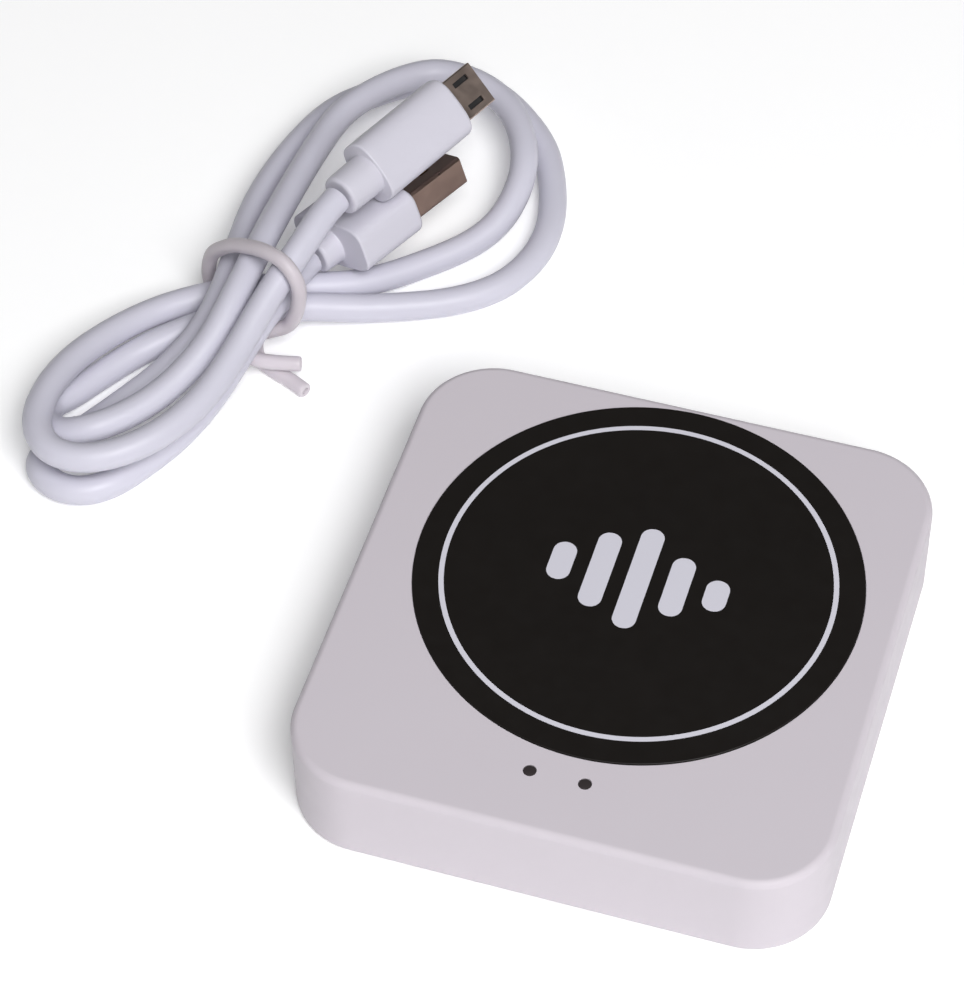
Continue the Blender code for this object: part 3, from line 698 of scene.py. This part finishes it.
def make_feet_and_screws():
    profile = [(0.01, 0.0), (1.5, 0.0), (3.3, 0.0), (3.62, 0.02), (3.86, 0.12), (3.97, 0.28)]
    profile += [(FOOT_RADIUS, 0.45), (FOOT_RADIUS, FOOT_HEIGHT)]
    for index, (x, y) in enumerate(FEET, 1):
        mesh = turned("foot", profile, 72)
        piece(f"foot_{index}", mesh, [RUBBER], at(x, y), nodes=(f"rubber_foot_{index}",))
    low = FOOT_LIFT + 0.1
    profile = [(0.6, low), (1.6, low + 0.04), (1.88, low + 0.14), (HEAD_RADIUS, low + 0.3)]
    profile += [(HEAD_RADIUS, low + 0.6), (1.0, low + 0.6), (1.0, 8.4), (0.6, 9.2)]
    for index, (x, y) in enumerate(CASE_SCREWS, 1):
        recess = [(mesh, at(0, 0, low), operation) for mesh, _, operation in cross_recess(0.42, 1.05)]
        mesh = carved(turned("screw", profile, 48), recess)
        name = f"cover_screw_{index}"
        piece(name, mesh, [SCREW], at(x, y), nodes=(f"case_screw_{index}",))


def make_label():
    low = TOP_Z - RECESS_DEPTH + GAP - 0.1
    edge = [(LABEL_RADIUS - inset, LABEL_TOP - 0.12 + rise) for inset, rise in fillet(4, 0.12)]
    disc = turned("disc", [(LABEL_RADIUS, low + 0.1), *edge], 200)
    piece("label", disc, [LABEL], at(*LABEL_CENTRE), nodes=("label_disc",))
    print_low = LABEL_TOP - 0.05
    print_top = LABEL_TOP + PRINT_THICKNESS
    inner, outer = RING_RADII
    profile = [(inner, print_low), (outer, print_low), (outer, print_top), (inner, print_top)]
    parts = [(turned("ring", profile, 200, ring=True), 0)]
    for index, half_height in enumerate(BAR_HALF_HEIGHTS):
        corner = BAR_HALF_WIDTH - 0.05
        bar = block("bar", BAR_HALF_WIDTH, half_height, print_low, print_top, corner, segments=10)
        bar.transform(at((index - 2) * BAR_PITCH, 0))
        parts.append((bar, 0))
    piece("label_mark", joined("mark", parts), [PRINT], at(*LABEL_CENTRE))


def make_lights():
    top = TOP_Z - 0.03
    edge = LIGHT_RADIUS
    profile = [(edge, 6.4), (edge, 11.8), (1.6, 12.0), (1.6, 12.6), (edge, 12.7), (edge, top - 0.12)]
    profile += [(edge - 0.06, top - 0.04), (edge - 0.25, top), (0.01, top + 0.02)]
    for side, x in zip(("left", "right"), LIGHT_X):
        mesh = turned("window", profile, 40)
        node = f"light_pipe_{side}"
        piece(f"light_{side}", mesh, [WINDOW], at(x, LIGHT_Y), nodes=(node,))


def make_sockets():
    place = facing_rear(*INLET, HALF_DEPTH - 0.6)
    outline = [(3.75, 1.15), (3.55, 1.35), (-3.55, 1.35), (-3.75, 1.15), (-3.75, -0.2), (-2.95, -1.35)]
    outline += [(2.95, -1.35), (3.75, -0.2)]
    inner = [(x * 0.925, y * 0.79) for x, y in outline]
    outer = lofted("socket", [level(outline, -5.2), level(outline, 0)])
    hollow = lofted("hollow", [level(inner, -4.7), level(inner, 1)])
    shell = carved(outer, [(hollow, Matrix.Identity(4), "DIFFERENCE")])
    piece("power_socket", shell, [TIN], place, nodes=("micro_usb_socket_shell",))
    tongue = tongue_mesh("tongue", 1.9, 0.3, -4.4, -0.8, (-1.3, -0.65, 0, 0.65, 1.3), 0.17, -1)
    tongue.transform(at(0, 0.35))
    core_nodes = ("micro_usb_socket_tongue",)
    piece("power_socket_core", tongue, [BLACK, GOLD], place, nodes=core_nodes)
    profile = [(1.85, -0.25), (2.05, -0.02), (2.2, 0.0), (2.82, 0.0), (2.95, -0.05), (3.0, -0.2)]
    profile += [(3.0, -WALL), (1.85, -WALL)]
    bush = turned("bush", profile, 72, ring=True)
    place = facing_rear(*JACK)
    piece("audio_socket_bush", bush, [TIN], place, nodes=("audio_jack_bush",))


def make_button():
    edge = [(BUTTON_RADIUS - inset, -0.3 + rise) for inset, rise in fillet(5, 0.3)]
    profile = [(1.0, -3.4), (1.0, -2.7), (2.8, -2.7), (2.8, -2.1), (BUTTON_RADIUS, -2.1), *edge]
    profile += [(1.1, -0.02), (0.6, -0.09), (0.01, -0.12)]
    mesh = turned("cap", profile, 56)
    place = facing_rear(*BUTTON_PLACE)
    piece("button_cap", mesh, [CASE], place, BUTTON, nodes=("pairing_button",))


def finish_inner_parts():
    """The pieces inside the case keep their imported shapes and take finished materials."""
    finishes = {
        "main_board": BOARD,
        "bluetooth_module": MODULE_BOARD,
        "module_shield_can": TIN,
        "audio_converter_chip": CHIP,
        "power_regulator": CHIP,
        "power_inductor": CHIP,
        "crystal_can": TIN,
        "output_capacitor_1": TIN,
        "output_capacitor_2": TIN,
        "status_led_left": LED,
        "status_led_right": LED,
        "board_screw_1": SCREW,
        "board_screw_2": SCREW,
        "board_screw_3": SCREW,
        "board_screw_4": SCREW,
        "audio_jack_body": BLACK,
        "tact_switch": TIN,
        "switch_plunger": BLACK,
    }
    for name, material in finishes.items():
        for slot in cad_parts[name].material_slots:
            slot.material = material


# ---------------------------------------------------------------- stage


def area_light(name, azimuth, elevation, distance, size, power):
    """A soft square light that faces the object. Azimuth 0 is in front, and 90 to its right."""
    az, el = math.radians(azimuth), math.radians(elevation)
    out = Vector((math.sin(az) * math.cos(el), -math.cos(az) * math.cos(el), math.sin(el)))
    lamp = bpy.data.objects.new(name, bpy.data.lights.new(name, "AREA"))
    lamp.data.shape = "SQUARE"
    lamp.data.size = size
    lamp.data.energy = power
    lamp.location = Vector((-0.02, 0.03, 0)) + out * distance
    lamp.rotation_mode = "QUATERNION"
    lamp.rotation_quaternion = (-out).to_track_quat("-Z", "Y")
    bpy.context.scene.collection.objects.link(lamp)


def make_stage():
    bm = bmesh.new()
    bmesh.ops.create_grid(bm, x_segments=1, y_segments=1, size=3)
    mesh = bpy.data.meshes.new("floor")
    bm.to_mesh(mesh)
    bm.free()
    floor = bpy.data.objects.new("floor", mesh)
    floor.location = (0, 0, -0.00005)
    material = surface("floor_paper", (0.93, 0.93, 0.935), 0.8, grain=300, depth=2e-6, tint=0.004)
    shader = material.node_tree.nodes["Principled BSDF"]
    shader.inputs["Emission Color"].default_value = (1, 1, 1, 1)
    shader.inputs["Emission Strength"].default_value = 0.15
    mesh.materials.append(material)
    bpy.context.scene.collection.objects.link(floor)
    world = bpy.data.worlds.new("studio")
    world.use_nodes = True
    background = world.node_tree.nodes["Background"]
    background.inputs["Color"].default_value = (1, 1, 1, 1)
    background.inputs["Strength"].default_value = 0.09
    bpy.context.scene.world = world
    area_light("key", 38, 51, 1.3, 0.69, 18.5)
    area_light("fill", 30, 14, 1.3, 0.87, 1.04)
    area_light("top", 10, 78, 1.5, 1.2, 2.25)
    bpy.context.scene.view_settings.view_transform = "Standard"


make_camera()
cable = make_cable()
tie = make_tie()
plugs = make_plugs()
make_top_cover()
make_bottom_cover()
make_feet_and_screws()
make_label()
make_lights()
make_sockets()
make_button()
finish_inner_parts()
make_stage()
